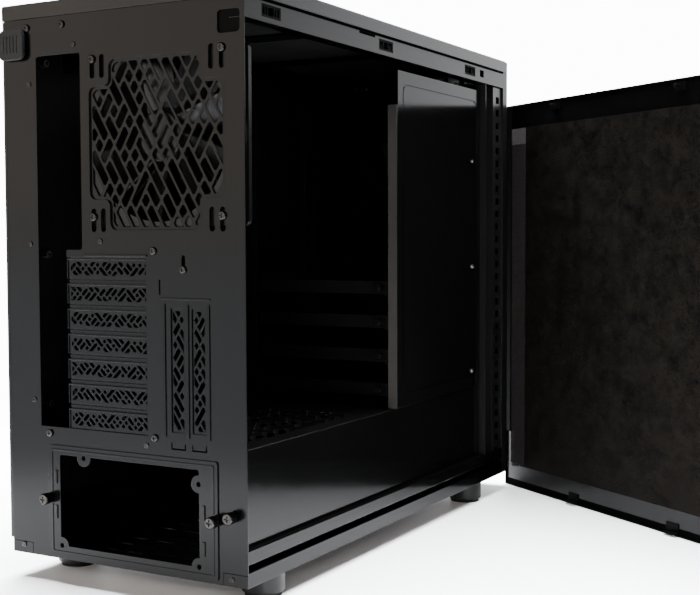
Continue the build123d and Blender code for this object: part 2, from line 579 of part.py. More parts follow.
def front_fascia():
    """Moulded frame round the door; its side edges are chamfered towards the front."""
    chamfer_x = HALF - 11.0
    outline = Polygon((-HALF, FASCIA_REAR), (HALF, FASCIA_REAR), (HALF, CHAMFER_Y), (chamfer_x, FRONT),
                      (-chamfer_x, FRONT), (-HALF, CHAMFER_Y), align=None)
    body = extrude(Plane(origin=(0, 0, BASE)) * outline, TOP - BASE, dir=(0, 0, 1))
    body -= block((-DOOR_X - 0.6, DOOR_X + 0.6), (FRONT - 1, FASCIA_REAR + 1), (DOOR_Z[0] - 0.6, DOOR_Z[1] + 0.6))
    body -= block((-HALF + 3, HALF - 3), (FASCIA_REAR - 9.0, FASCIA_REAR + 1), (BASE + 3, 450.0))
    body -= block((-96.0, 96.0), (FRONT + 6.0, FASCIA_REAR + 1), (450.0, TOP - 3.0))
    for x, radius in IO_HOLES:
        body -= rod(radius, (x, IO_Y, TOP - 6.0), (0, 0, 1), 10.0)
    for x in USB_X:
        body -= block((x - 7.0, x + 7.0), (IO_Y - 3.2, IO_Y + 3.2), (TOP - 6.0, TOP + 1.0))
    for z in (DOOR_Z[0] - PIN_REACH - 0.4, DOOR_Z[1]):
        body -= rod(PIN_RADIUS + 0.06, (DOOR_HINGE_X, DOOR_HINGE_Y, z), (0, 0, 1), PIN_REACH + 0.4)
    return body


IO_Y = -253.5                                # centre line of the controls on the fascia's top
POWER_X = 0.0
RESET_X = 22.0
JACK_X = (62.0, 76.0)
USB_X = (-72.0, -52.0, -32.0)
POWER_RADIUS = 7.5
RESET_RADIUS = 3.0
JACK_RADIUS = 4.2
IO_HOLES = ((POWER_X, POWER_RADIUS + 0.3), (RESET_X, RESET_RADIUS + 0.3), (JACK_X[0], JACK_RADIUS),
            (JACK_X[1], JACK_RADIUS))


def io_board():
    """Board under the fascia's top that carries the switches and ports."""
    return block((-88.0, 88.0), (IO_Y - 9.0, IO_Y + 9.0), (TOP - 22.0, TOP - 20.4))


def io_ports():
    ports = []
    for x in USB_X:
        shell = block((x - 6.6, x + 6.6), (IO_Y - 2.9, IO_Y + 2.9), (TOP - 20.4, TOP - 0.6))
        shell -= block((x - 6.0, x + 6.0), (IO_Y - 2.3, IO_Y + 2.3), (TOP - 15.0, TOP))
        shell += block((x - 5.4, x + 5.4), (IO_Y - 0.2, IO_Y + 1.8), (TOP - 20.0, TOP - 3.0))
        ports.append(shell)
    for x in JACK_X:
        jack = rod(JACK_RADIUS - 0.1, (x, IO_Y, TOP - 20.4), (0, 0, 1), 20.2)
        ports.append(jack - rod(1.75, (x, IO_Y, TOP - 14.0), (0, 0, 1), 20.0))
    return Compound(children=ports)


def push_button(x, radius):
    """Cap on a stem, standing just proud of the fascia's top."""
    cap = rod(radius, (x, IO_Y, TOP - 6.0), (0, 0, 1), 6.8)
    cap = fillet(cap.edges().sort_by(Axis.Z)[-1], 0.8)
    return cap + rod(radius * 0.45, (x, IO_Y, TOP - 16.5), (0, 0, 1), 11.0)


def front_door():
    """Door leaf: a shallow tray with a turned-in edge, open towards the foam."""
    y = (FRONT, FRONT + DOOR_THICKNESS)
    leaf = block((-DOOR_X, DOOR_X), y, DOOR_Z)
    leaf = fillet(leaf.edges().filter_by(Axis.Z).sort_by(Axis.Y)[:2], DOOR_EDGE_RADIUS)
    leaf -= block((-DOOR_X + 4, DOOR_X - 4), (FRONT + 2.5, FRONT + DOOR_THICKNESS + 1), (DOOR_Z[0] + 4, DOOR_Z[1] - 4))
    leaf += rod(PIN_RADIUS, (DOOR_HINGE_X, DOOR_HINGE_Y, DOOR_Z[0] - PIN_REACH), (0, 0, 1), PIN_REACH)
    leaf += rod(PIN_RADIUS, (DOOR_HINGE_X, DOOR_HINGE_Y, DOOR_Z[1]), (0, 0, 1), PIN_REACH)
    return leaf


def door_foam():
    return block((-DOOR_X + 5, DOOR_X - 5), (FRONT + 2.5, FRONT + DOOR_THICKNESS - 1.5), (DOOR_Z[0] + 5, DOOR_Z[1] - 5))


def front_filter():
    """Framed dust filter between the door and the fans."""
    x, z, y = (-94.0, 94.0), (46.0, 434.0), (-247.5, -243.5)
    frame = block(x, y, z) - block((x[0] + 8, x[1] - 8), (y[0] - 1, y[1] + 1), (z[0] + 8, z[1] - 8))
    mesh = block((x[0] + 7.5, x[1] - 7.5), (-245.9, -245.1), (z[0] + 7.5, z[1] - 7.5))
    frame += mesh
    for z_bar in (143.0, 240.0, 337.0):
        frame += block((x[0] + 7, x[1] - 7), (y[0] + 0.4, y[1] - 0.4), (z_bar - 1.5, z_bar + 1.5))
    return frame


def fan_wall():
    """Steel sheet across the chassis that carries the two front fans."""
    wall = block((-HALF + 12.4, HALF - 12.4), (FAN_WALL_Y - SHEET, FAN_WALL_Y), (BASE + SHEET, BODY_TOP - SHEET - 16))
    for z in FRONT_FAN_Z:
        wall -= rod(66.5, (0, FAN_WALL_Y - 3, z), (0, 1, 0), 6)
    for side in (-1, 1):
        for i in range(9):
            slot = Rot(0, 0, 90) * SlotOverall(26.0, 5.0)
            at = sheet_plane_y(FAN_WALL_Y + 2) * (Pos(side * 84.0, 85.0 + 38.0 * i) * slot)
            wall -= extrude(at, 6)
    return wall


# ---- cap, feet, filter -------------------------------------------------------------------------------------------
def top_cap():
    """Lift-off lid over the roof, hollow underneath, with turned-down edges."""
    y, z = (FASCIA_REAR + GAP, REAR), (BODY_TOP + GAP, TOP)
    cap = block((-PANEL_OUT, PANEL_OUT), y, z)
    cap = chamfer(cap.edges().filter_by(Axis.Y).group_by(Axis.Z)[-1], 1.2)
    return cap - block((-PANEL_OUT + 2, PANEL_OUT - 2), (y[0] + 2, y[1] - 2), (z[0] - 1, z[1] - 2))


def top_cap_foam():
    return block((-HALF, HALF), (FASCIA_REAR + 6, REAR - 6), (BODY_TOP + 1.6, TOP - 2.0))


FOOT_PLACES = ((-100.0, -175.0), (-96.0, 216.0), (100.0, -175.0), (96.0, 216.0))
FOOT_RADIUS = 18.0


def feet():
    items = []
    for x, y in FOOT_PLACES:
        foot = rod(FOOT_RADIUS - 0.5, (x, y, 3.0), (0, 0, 1), BASE - 3.0)
        items.append(chamfer(foot.edges().group_by(Axis.Z)[0], 1.0))
    return Compound(children=items)


def foot_pads():
    return Compound(children=[rod(FOOT_RADIUS - 3.0, (x, y, 0.0), (0, 0, 1), 3.0) for x, y in FOOT_PLACES])


def bottom_filter():
    """Framed dust filter that slides forward out from under the chassis."""
    x, y, z = (-FILTER_HALF, FILTER_HALF), (-240.0, 240.0), (FILTER_LOW, FILTER_LOW + 3.6)
    frame = block(x, y, z) - block((x[0] + 7, x[1] - 7), (y[0] + 12, y[1] - 7), (z[0] - 1, z[1] + 1))
    frame += block((x[0] + 6.5, x[1] - 6.5), (y[0] + 11, y[1] - 6.5), (17.6, 18.2))
    for i in range(5):
        at = y[0] + 80.0 + i * 80.0
        frame += block((x[0] + 6, x[1] - 6), (at - 1.5, at + 1.5), (16.4, 19.2))
    return frame


# ---- side panels, drawn closed -------------------------------------------------------------------------------------
def panel_skin():
    """Left side panel, closed: 1 mm sheet with hems turned in round its edge."""
    y, z = (PANEL_FRONT, REAR - 0.2), (PANEL_LOW, PANEL_HIGH)
    skin = block((-PANEL_OUT, -PANEL_IN), y, z)
    skin = fillet(skin.edges().filter_by(Axis.Z).sort_by(Axis.X)[:2], 0.8)
    skin -= block((-PANEL_OUT + SHEET, -PANEL_IN + 1), (y[0] + SHEET, y[1] - SHEET), (z[0] + SHEET, z[1] - SHEET))
    return skin


def panel_mat():
    y, z = (PANEL_FRONT + 26, REAR - 24), (PANEL_LOW + 25, PANEL_HIGH - 26)
    mat = block((-PANEL_OUT + SHEET, -PANEL_IN - 0.2), y, z)
    return chamfer(mat.edges().filter_by(Axis.X), 3.0)


def panel_fittings():
    """Snap studs along the top, bent hooks along the foot and the pull tab at the rear."""
    pieces = []
    for station in CLIP_STATIONS:
        y = REAR - station
        base = block((-PANEL_OUT + SHEET, -PANEL_IN), (y - 7, y + 7), (STUD_Z - 4.0, STUD_Z + 4.0))
        stud = rod(1.8, (-PANEL_IN, y, STUD_Z), (1, 0, 0), 5.0)
        ball = Pos(-PANEL_IN + 6.0, y, STUD_Z) * Sphere(2.4)
        pieces.append(base + stud + ball)
    for station in HOOK_STATIONS:
        y = REAR - station
        hook = block((-PANEL_OUT + SHEET, -PANEL_IN + 4.6), (y - 8, y + 8), (PANEL_LOW + 2.0, PANEL_LOW + 3.2))
        hook += block((-PANEL_OUT + SHEET, -PANEL_IN - 1.2), (y - 8, y + 8), (PANEL_LOW + 2.0, PANEL_LOW + 12.0))
        pieces.append(hook)
    tab = block((-PANEL_OUT + 0.2, -95.0), (REAR + 2.0, REAR + 5.0), TAB_Z)
    tab = fillet(tab.edges().filter_by(Axis.Y), 6.0)
    tab = fillet(tab.edges().group_by(Axis.Y)[-1], 0.8)
    foot = block((-PANEL_OUT + 0.2, -PANEL_IN), (REAR - 0.2, REAR + 2.0), (TAB_Z[0] + 5, TAB_Z[1] - 5))
    for i in range(5):
        x = -116.0 + i * 3.6
        tab += block((x - 0.6, x + 0.6), (REAR + 4.8, REAR + 5.5), (TAB_Z[0] + 5.5, TAB_Z[1] - 5.5))
    pieces.append(tab + foot)
    return Compound(children=pieces)


def panel_guide():
    """Stiffener in the left panel's front hem; the panel is lifted along it."""
    return block((-PANEL_OUT + SHEET + 0.4, -PANEL_IN - 0.4), (PANEL_FRONT + 1.6, PANEL_FRONT + 9.0), (62.0, 425.0))


def set_down(shape, drop=0.0):
    """The left panel as it stands beside the tower: swung about its plumb line and lowered."""
    swing = Pos(-SWING_X, SWING_Y, -drop) * Rot(0, 0, SWING_ANGLE) * Pos(SWING_X, -SWING_Y, 0)
    return swing * shape


# ---- rear fasteners ------------------------------------------------------------------------------------------------
def rear_fasteners():
    heads = [screw_head(x, REAR, z) for x, z in ((94.6, 455.2), (57.2, 455.4), (-32.9, 274.0), (75.6, 124.0),
                                                 (-32.5, 128.2), (-61.3, 259.8))]
    heads += [screw_head(x, REAR, z, 2.2, 0.9) for x, z in ((45.3, 438.7), (92.9, 409.5), (94.0, 279.4), (19.9, 281.5),
                                                            (92.2, 150.7), (-24.2, 121.5), (106.1, 27.7),
                                                            (-104.0, 25.7))]
    for side in (-1, 1):
        x = FAN_X + side * FAN_140_HOLES / 2
        heads += [screw_head(x, REAR, z, 3.4, 2.0) for z in (FAN_Z - FAN_140_HOLES / 2, FAN_Z + FAN_140_HOLES / 2)]
    return Compound(children=heads)


def main():
    drop = PANEL_LOW - PANEL_REST_Z
    save("rear_panel", rear_panel())
    save("rear_fan_grille", rear_fan_grille())
    save("slot_bracket", slot_bracket())
    for i in range(SLOT_COUNT):
        save(f"slot_cover_{i + 1}", slot_cover(i))
    for i, x in enumerate(VERTICAL_COVER_X):
        save(f"vertical_slot_cover_{i + 1}", vertical_cover(x))
    save("psu_bracket", psu_bracket())
    screws = [thumbscrew(x, z, REAR + 1.2) for x, z in BRACKET_SCREWS] + [thumbscrew(*SHEET_SCREW, REAR)]
    save("rear_thumbscrews", Compound(children=screws))
    save("rear_fasteners", rear_fasteners())
    save("bottom_pan", bottom_pan())
    save("lower_rail_left", lower_rail())
    save("lower_rail_right", mirror_x(lower_rail()))
    save("psu_shroud_side", psu_shroud_side())
    save("psu_shroud_top", psu_shroud_top())
    save("motherboard_tray", motherboard_tray())
    save("board_standoffs", board_standoffs())
    save("top_panel", top_panel())
    save("top_rail_left", top_rail())
    save("top_rail_right", mirror_x(top_rail()))
    save("panel_clip_sockets", Compound(children=clip_sockets() + [mirror_x(socket) for socket in clip_sockets()]))
    save("front_post_left", front_post())
    save("front_post_right", mirror_x(front_post()))
    save("fan_wall", fan_wall())
    save("drive_cover_plate", drive_cover_plate())
    save("drive_frame", drive_frame())
    for i in range(DRIVE_COUNT):
        save(f"drive_tray_{i + 1}", drive_tray(i))
    save("rear_fan_frame", fan_frame(FAN_X, FAN_Z, REAR - 3.0))
    save("rear_fan_rotor", fan_rotor(FAN_X, FAN_Z, REAR - 3.0))
    front_back = FAN_WALL_Y - SHEET - 0.1
    save("front_fan_frames", Compound(children=[fan_frame(0, z, front_back) for z in FRONT_FAN_Z]))
    for i, z in enumerate(FRONT_FAN_Z):
        save(f"front_fan_rotor_{i + 1}", fan_rotor(0, z, front_back))
    save("front_fascia", front_fascia())
    save("front_filter", front_filter())
    save("front_io_board", io_board())
    save("front_io_ports", io_ports())
    save("power_button", push_button(POWER_X, POWER_RADIUS))
    save("reset_button", push_button(RESET_X, RESET_RADIUS))
    save("front_door", front_door())
    save("front_door_foam", door_foam())
    save("top_cap", top_cap())
    save("top_cap_foam", top_cap_foam())
    save("feet", feet())
    save("foot_pads", foot_pads())
    save("bottom_filter", bottom_filter())
    save("left_panel_guide", set_down(panel_guide()))
    save("left_panel_skin", set_down(panel_skin(), drop))
    save("left_panel_mat", set_down(panel_mat(), drop))
    save("left_panel_fittings", set_down(panel_fittings(), drop))
    save("right_panel_skin", mirror_x(panel_skin()))
    save("right_panel_mat", mirror_x(panel_mat()))
    save("right_panel_fittings", mirror_x(panel_fittings()))
    print("left panel lift, mm:", round(drop, 3), " swing, degrees:", SWING_ANGLE)


main()
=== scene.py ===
import json
from math import cos, pi, radians, sin

import bmesh
import bpy
from mathutils import Matrix, Vector


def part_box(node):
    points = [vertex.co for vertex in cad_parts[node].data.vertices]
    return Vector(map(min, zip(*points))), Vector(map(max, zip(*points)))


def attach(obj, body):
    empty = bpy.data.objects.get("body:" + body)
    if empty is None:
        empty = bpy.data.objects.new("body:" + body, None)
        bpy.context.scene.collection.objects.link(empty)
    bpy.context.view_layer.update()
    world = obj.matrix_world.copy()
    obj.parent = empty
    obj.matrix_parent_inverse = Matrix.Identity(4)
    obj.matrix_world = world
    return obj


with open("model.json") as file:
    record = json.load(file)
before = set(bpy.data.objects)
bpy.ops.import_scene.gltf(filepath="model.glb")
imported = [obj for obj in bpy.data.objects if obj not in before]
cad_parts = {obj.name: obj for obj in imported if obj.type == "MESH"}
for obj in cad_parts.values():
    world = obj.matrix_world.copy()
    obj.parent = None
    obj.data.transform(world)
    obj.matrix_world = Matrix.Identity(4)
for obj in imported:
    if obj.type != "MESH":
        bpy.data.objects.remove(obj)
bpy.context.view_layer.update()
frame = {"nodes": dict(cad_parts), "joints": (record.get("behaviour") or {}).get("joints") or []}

MM = 0.001


def box_mm(node):
    """Lowest and highest corner of a CAD node, in millimetres."""
    low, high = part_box(node)
    return low / MM, high / MM


# ---- material helpers ------------------------------------------------------------------------
def start_material(name):
    """New node material: (material, tree, shader, object coordinates in metres)."""
    material = bpy.data.materials.new(name)
    material.use_nodes = True
    tree = material.node_tree
    place = tree.nodes.new("ShaderNodeTexCoord").outputs["Object"]
    return material, tree, tree.nodes["Principled BSDF"], place


def stretched(tree, place, x, y, z):
    """Object coordinates scaled along each axis, for grain that runs one way."""
    node = tree.nodes.new("ShaderNodeMapping")
    node.inputs["Scale"].default_value = (x, y, z)
    tree.links.new(place, node.inputs["Vector"])
    return node.outputs["Vector"]


def along(tree, place):
    """The X, Y and Z of place, each on its own."""
    node = tree.nodes.new("ShaderNodeSeparateXYZ")
    tree.links.new(place, node.inputs["Vector"])
    return node.outputs


def noise(tree, place, scale, detail=3.0, roughness=0.55):
    """Soft random value, with scale features to the metre."""
    node = tree.nodes.new("ShaderNodeTexNoise")
    node.inputs["Scale"].default_value = scale
    node.inputs["Detail"].default_value = detail
    node.inputs["Roughness"].default_value = roughness
    tree.links.new(place, node.inputs["Vector"])
    return node.outputs["Fac"]


def cells(tree, place, scale, feature="F1"):
    """Distance within random cells, with scale cells to the metre."""
    node = tree.nodes.new("ShaderNodeTexVoronoi")
    node.feature = feature
    node.inputs["Scale"].default_value = scale
    tree.links.new(place, node.inputs["Vector"])
    return node.outputs["Distance"]


def span(tree, value, low, high, start=0.35, end=0.65):
    """value, between start and end, mapped onto low to high."""
    node = tree.nodes.new("ShaderNodeMapRange")
    node.inputs["From Min"].default_value = start
    node.inputs["From Max"].default_value = end
    node.inputs["To Min"].default_value = low
    node.inputs["To Max"].default_value = high
    tree.links.new(value, node.inputs["Value"])
    return node.outputs["Result"]


def math_node(tree, operation, a, b=None):
    """Result of one operation on a and b, each a number or another node's output."""
    node = tree.nodes.new("ShaderNodeMath")
    node.operation = operation
    for socket, value in zip(node.inputs, (a, b)):
        if value is None:
            continue
        if isinstance(value, (int, float)):
            socket.default_value = value
        else:
            tree.links.new(value, socket)
    return node.outputs["Value"]


def scaled(colour, factor):
    return tuple(channel * factor for channel in colour)


def colour_by(tree, shader, value, dark, light, start=0.35, end=0.65):
    """Base colour from dark to light, as value goes from start to end."""
    node = tree.nodes.new("ShaderNodeValToRGB")
    low, high = node.color_ramp.elements
    low.position, low.color = start, (*dark, 1)
    high.position, high.color = end, (*light, 1)
    tree.links.new(value, node.inputs["Fac"])
    tree.links.new(node.outputs["Color"], shader.inputs["Base Color"])


def roughness_by(tree, shader, value, low, high, start=0.35, end=0.65):
    """Roughness from low to high, as value goes from start to end."""
    tree.links.new(span(tree, value, low, high, start, end), shader.inputs["Roughness"])


def edge_normal(tree, radius):
    """Normal rounded over sharp edges, so that folded and moulded edges catch the light."""
    node = tree.nodes.new("ShaderNodeBevel")
    node.samples = 4
    node.inputs["Radius"].default_value = radius
    return node.outputs["Normal"]


def relief_by(tree, shader, height, distance, strength, normal=None):
    """Bump of height, distance deep in metres, over normal."""
    node = tree.nodes.new("ShaderNodeBump")
    node.inputs["Strength"].default_value = strength
    node.inputs["Distance"].default_value = distance
    tree.links.new(height, node.inputs["Height"])
    if normal is not None:
        tree.links.new(normal, node.inputs["Normal"])
    tree.links.new(node.outputs["Normal"], shader.inputs["Normal"])


# ---- materials -------------------------------------------------------------------------------
def powder_coat(name, colour, roughness, gloss, grain=0.00004):
    """Satin powder coat on sheet steel: fine pebbled grain, faint clouds in colour and sheen."""
    material, tree, shader, place = start_material(name)
    clouds = noise(tree, place, 9.0, 5.0)
    pebbles = noise(tree, place, 1900.0, 2.0)
    smears = noise(tree, place, 12.0, 4.0, 0.5)
    colour_by(tree, shader, clouds, scaled(colour, 0.82), scaled(colour, 1.2))
    grainy = span(tree, pebbles, -0.015, 0.015)
    smeared = span(tree, smears, roughness - 0.01, roughness + 0.01)
    tree.links.new(math_node(tree, "ADD", grainy, smeared), shader.inputs["Roughness"])
    shader.inputs["Specular IOR Level"].default_value = gloss
    relief_by(tree, shader, pebbles, grain, 0.55, edge_normal(tree, 0.0005))
    return material


def damping_mat(name, colour):
    """Heavy felted bitumen sheet: matt, mottled, lighter towards its foot, with fibres and pits."""
    material, tree, shader, place = start_material(name)
    blotches = noise(tree, place, 55.0, 9.0, 0.8)
    fibres = noise(tree, stretched(tree, place, 1.0, 1.0, 0.4), 900.0, 4.0, 0.7)
    pits = cells(tree, place, 420.0)
    broad = math_node(tree, "MULTIPLY", blotches, 0.65)
    fine = math_node(tree, "MULTIPLY", fibres, 0.35)
    # lighter towards the panel's foot, fading out by 0.22 m up
    foot_lift = span(tree, along(tree, place)["Z"], 0.06, 0.0, 0.02, 0.22)
    mottling = math_node(tree, "ADD", math_node(tree, "ADD", broad, fine), foot_lift)
    colour_by(tree, shader, mottling, scaled(colour, 0.35), scaled(colour, 2.0), 0.4, 0.6)
    roughness_by(tree, shader, fibres, 0.72, 0.95)
    shader.inputs["Specular IOR Level"].default_value = 0.02
    height = math_node(tree, "ADD", fibres, math_node(tree, "MULTIPLY", pits, 0.7))
    relief_by(tree, shader, height, 0.0004, 0.6)
    return material


def open_foam(name, colour):
    """Open-cell foam or felt: soft pores, hardly any sheen."""
    material, tree, shader, place = start_material(name)
    pores = cells(tree, place, 900.0)
    clumps = noise(tree, place, 60.0, 4.0)
    colour_by(tree, shader, pores, scaled(colour, 0.3), scaled(colour, 1.3), 0.1, 0.7)
    roughness_by(tree, shader, clumps, 0.85, 0.98)
    shader.inputs["Specular IOR Level"].default_value = 0.05
    relief_by(tree, shader, pores, 0.0006, 0.8)
    return material


def moulded_plastic(name, colour, roughness, gloss):
    """Injection-moulded plastic with a spark-eroded grain."""
    material, tree, shader, place = start_material(name)
    grain = noise(tree, place, 2600.0, 2.0)
    clouds = noise(tree, place, 14.0, 3.0)
    colour_by(tree, shader, clouds, scaled(colour, 0.88), scaled(colour, 1.12))
    roughness_by(tree, shader, grain, roughness - 0.06, roughness + 0.08)
    shader.inputs["Specular IOR Level"].default_value = gloss
    relief_by(tree, shader, grain, 0.00003, 0.5, edge_normal(tree, 0.0004))
    return material


def metal(name, colour, roughness):
    """Plated or machined metal with fine marks and uneven tarnish."""
    material, tree, shader, place = start_material(name)
    marks = noise(tree, place, 1500.0, 3.0, 0.6)
    tarnish = noise(tree, place, 70.0, 5.0)
    shader.inputs["Metallic"].default_value = 1.0
    colour_by(tree, shader, tarnish, scaled(colour, 0.75), scaled(colour, 1.15))
    roughness_by(tree, shader, marks, roughness - 0.08, roughness + 0.1)
    relief_by(tree, shader, marks, 0.00003, 0.4, edge_normal(tree, 0.0002))
    return material


def filter_mesh(name, colour, facing, level, half_thickness):
    """Dust filter: a square nylon weave that lets light through, in a solid frame.

    The weave is where the filter is within half_thickness of level along its facing axis.
    """
    material, tree, shader, place = start_material(name)
    pitch = 0.9 * MM
    position = along(tree, place)
    threads = []
    for axis in "XYZ".replace(facing, ""):
        wave = math_node(tree, "SINE", math_node(tree, "MULTIPLY", position[axis], 2 * pi / pitch))
        threads.append(math_node(tree, "GREATER_THAN", wave, -0.1))
    woven = math_node(tree, "MAXIMUM", *threads)
    off = math_node(tree, "ABSOLUTE", math_node(tree, "SUBTRACT", position[facing], level))
    solid_frame = math_node(tree, "GREATER_THAN", off, half_thickness)
    tree.links.new(math_node(tree, "MAXIMUM", woven, solid_frame), shader.inputs["Alpha"])
    grain = noise(tree, place, 1400.0, 2.0)
    colour_by(tree, shader, grain, scaled(colour, 0.8), scaled(colour, 1.3))
    roughness_by(tree, shader, grain, 0.45, 0.62)
    shader.inputs["Specular IOR Level"].default_value = 0.05
    return material


def circuit_board(name):
    """Dark solder mask with faint traces under it."""
    material, tree, shader, place = start_material(name)
    traces = cells(tree, stretched(tree, place, 1.0, 3.0, 1.0), 260.0, "DISTANCE_TO_EDGE")
    colour_by(tree, shader, traces, (0.01, 0.05, 0.02), (0.005, 0.02, 0.01), 0.02, 0.06)
    roughness_by(tree, shader, traces, 0.25, 0.4, 0.0, 0.1)
    return material


def floor_material(name):
    """Pale studio floor, very slightly clouded."""
    material, tree, shader, place = start_material(name)
    clouds = noise(tree, place, 1.6, 3.0)
    colour_by(tree, shader, clouds, (0.86, 0.87, 0.89), (0.9, 0.905, 0.92))
    roughness_by(tree, shader, noise(tree, place, 40.0), 0.34, 0.42)
    return material


def middle(node):
    """Centre of a CAD node's box, in metres."""
    low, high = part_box(node)
    return (low + high) / 2


# Coats, plastics and rubber: name, colour, roughness and gloss.
STEEL = powder_coat("chassis_powder_coat", (0.0009, 0.0009, 0.0009), 0.2, 0.085)
INNER_STEEL = powder_coat("inner_powder_coat", (0.0011, 0.0011, 0.0011), 0.26, 0.08)
PANEL_STEEL = powder_coat("panel_powder_coat", (0.0012, 0.0012, 0.0012), 0.24, 0.13)
SMOOTH_STEEL = powder_coat("smooth_powder_coat", (0.0009, 0.0009, 0.0009), 0.12, 0.07, 0.00001)
# Front posts: a lighter copy of the chassis coat, painted light for the highlights the posts show.
PAINTED_LIGHT_POST_STEEL = powder_coat("post_painted_light_coat", (0.0034, 0.0034, 0.0034), 0.3, 0.12)
TRAY_STEEL = powder_coat("tray_powder_coat", (0.0009, 0.0009, 0.0009), 0.35, 0.03)
# Darker, duller copy of the inner coat for the top panel, fan wall and rail ends: painted shade.
PAINTED_SHADE_STEEL = powder_coat("painted_shade_powder_coat", (0.0007, 0.0007, 0.0007), 0.4, 0.02)
# Pale coat for the drive column's rear edge: a painted highlight.
PAINTED_HIGHLIGHT_EDGE = powder_coat("painted_highlight_edge_coat", (0.012, 0.0113, 0.0106), 0.38, 0.25)
FASCIA = moulded_plastic("fascia_plastic", (0.0022, 0.0022, 0.0023), 0.36, 0.16)
FAN = moulded_plastic("fan_plastic", (0.002, 0.002, 0.0021), 0.3, 0.12)
# Right panel's fittings: a lighter copy of the black stud plastic on the left panel's fittings,
# painted light for the brighter pull tab.
PAINTED_LIGHT_FITTING = moulded_plastic("painted_light_fitting_plastic", (0.008, 0.008, 0.0083), 0.45, 0.12)
STUD = moulded_plastic("black_stud_plastic", (0.0012, 0.0012, 0.0012), 0.6, 0.03)
FOOT = moulded_plastic("foot_plastic", (0.004, 0.004, 0.004), 0.45, 0.2)
RUBBER = moulded_plastic("foot_rubber", (0.004, 0.004, 0.004), 0.8, 0.2)
# Dark strip along each panel's foot: painted shade under the hem.
PAINTED_SHADE_RUBBER = moulded_plastic("painted_shade_rubber", (0.0004, 0.0004, 0.0004), 0.7, 0.01)

# Soft linings: name and colour.
MAT = damping_mat("bitumen_felt", (0.0028, 0.0024, 0.00205))
FOAM = open_foam("acoustic_foam", (0.003, 0.003, 0.003))
# Felt tape down each panel's front: real tape, with a pale tone that also paints a soft reflection.
TAPE_WITH_PAINTED_REFLECTION = open_foam("felt_tape_painted_reflection", (0.0108, 0.0097, 0.0094))
# Pale pad in each panel's top front corner: a painted highlight.
PAINTED_HIGHLIGHT_PAD = open_foam("painted_highlight_pad", (0.045, 0.043, 0.043))

# Metals: name, colour and roughness.
SCREW = metal("black_oxide", (0.022, 0.021, 0.02), 0.28)
BRIGHT_SCREW = metal("zinc", (0.35, 0.35, 0.34), 0.25)
STANDOFF = metal("black_zinc", (0.07, 0.07, 0.072), 0.3)
NICKEL = metal("nickel_shell", (0.62, 0.61, 0.58), 0.25)

BOARD = circuit_board("solder_mask")
BOTTOM_MESH = filter_mesh("bottom_filter_nylon", (0.004, 0.004, 0.004), "Z",
                          middle("bottom_filter").z + 0.1 * MM, 0.5 * MM)
FRONT_MESH = filter_mesh("front_filter_nylon", (0.0015, 0.0015, 0.0015), "Y",
                         middle("front_filter").y, 0.6 * MM)

FINISH = {
    STEEL: ["rear_panel", "rear_fan_grille", "psu_bracket", "slot_bracket",
            "top_rail_left", "top_rail_right", "vertical_slot_cover_1", "vertical_slot_cover_2",
            *(f"slot_cover_{i}" for i in range(1, 8))],
    SMOOTH_STEEL: ["psu_shroud_side", "drive_cover_plate", "lower_rail_left", "lower_rail_right"],
    PAINTED_LIGHT_POST_STEEL: ["front_post_left", "front_post_right"],
    INNER_STEEL: ["bottom_pan", "psu_shroud_top", "motherboard_tray", "drive_frame"],
    TRAY_STEEL: [f"drive_tray_{i}" for i in range(1, 5)],
    PAINTED_SHADE_STEEL: ["top_panel", "fan_wall"],
    PANEL_STEEL: ["left_panel_skin", "right_panel_skin", "top_cap"],
    MAT: ["left_panel_mat", "right_panel_mat"],
    FOAM: ["front_door_foam", "top_cap_foam"],
    PAINTED_LIGHT_FITTING: ["right_panel_fittings"],
    STUD: ["left_panel_fittings", "panel_clip_sockets", "left_panel_guide"],
    FASCIA: ["front_fascia", "front_door", "power_button", "reset_button"],
    FAN: ["rear_fan_frame", "rear_fan_rotor", "front_fan_frames",
          "front_fan_rotor_1", "front_fan_rotor_2"],
    SCREW: ["rear_thumbscrews", "rear_fasteners"],
    STANDOFF: ["board_standoffs"],
    NICKEL: ["front_io_ports"],
    BOARD: ["front_io_board"],
    FOOT: ["feet"],
    RUBBER: ["foot_pads"],
    BOTTOM_MESH: ["bottom_filter"],
    FRONT_MESH: ["front_filter"],
}
for material, names in FINISH.items():
    for name in names:
        slots = frame["nodes"][name].data.materials
        slots.clear()
        slots.append(material)


# ---- small pieces the frame leaves out, in millimetres -----------------------------------------
def piece(name, bm, material, body, edge=0.0):
    """New object from bm, with its sharp edges rounded by edge, riding on a body."""
    mesh = bpy.data.meshes.new(name)
    bm.to_mesh(mesh)
    bm.free()
    mesh.materials.append(material)
    obj = bpy.data.objects.new(name, mesh)
    bpy.context.scene.collection.objects.link(obj)
    if edge:
        rounding = obj.modifiers.new("rounding", "BEVEL")
        rounding.width = edge * MM
        rounding.segments = 2
    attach(obj, body)


def block(bm, x, y, z):
    """Box between two limits on each axis."""
    for vertex in bmesh.ops.create_cube(bm, size=1.0)["verts"]:
        vertex.co = Vector([(low + high) / 2 + unit * (high - low)
                            for unit, (low, high) in zip(vertex.co, (x, y, z))]) * MM


def disc(bm, centre, axis, radius, depth):
    """Round bar centred on centre, along axis."""
    turn = Vector(axis).to_track_quat("Z", "Y").to_matrix().to_4x4()
    bmesh.ops.create_cone(bm, cap_ends=True, segments=24, radius1=radius * MM,
                          radius2=radius * MM, depth=depth * MM,
                          matrix=Matrix.Translation(Vector(centre) * MM) @ turn)


def column_edge():
    """Folded edge at the rear of the drive column, in a pale coat that paints on its highlight."""
    low, high = box_mm("drive_frame")
    width, thickness = 9.2, 0.6
    below_top = 33.0
    bm = bmesh.new()
    block(bm, (low.x, low.x + width), (high.y, high.y + thickness),
          (low.z + 0.5, high.z - below_top))
    piece("drive_column_edge", bm, PAINTED_HIGHLIGHT_EDGE, "chassis", 0.2)


